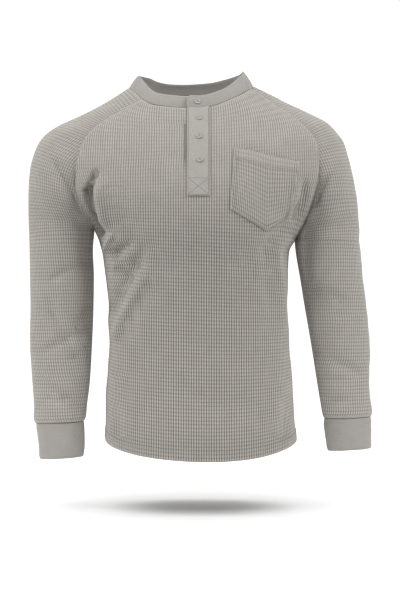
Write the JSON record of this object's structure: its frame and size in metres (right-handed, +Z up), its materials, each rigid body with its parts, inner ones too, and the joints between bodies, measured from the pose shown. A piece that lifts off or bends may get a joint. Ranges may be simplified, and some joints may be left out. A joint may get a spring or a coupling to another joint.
{
  "type": "thermal top",
  "caption": "Long-sleeved henley thermal top in waffle knit with raglan sleeves, chest pocket, buttoned placket and rib cuffs, held in its worn hollow shape.",
  "frame": {"origin": "centre of the neck at the level where neck and shoulders meet, where the wearer carries the top", "axes": "+Z up, the front faces -Y, +X is the wearer's left"},
  "size_m": [0.6532, 0.2481, 0.7343],
  "materials": {
    "waffle_knit": "matt waffle knit, warm stone grey",
    "rib_knit": "matt smooth knit, warm stone grey",
    "button": "satin tonal plastic"
  },
  "bodies": {
    "root": {"front": "waffle_knit", "back": "waffle_knit", "sleeve_left": "waffle_knit", "sleeve_right": "waffle_knit", "neckband": "rib_knit", "placket": "rib_knit", "placket_under": "rib_knit", "pocket": "waffle_knit", "cuff_left": "rib_knit", "cuff_right": "rib_knit", "button_1": "button", "button_2": "button", "button_3": "button", "button_4": "button"}
  },
  "joints": []
}
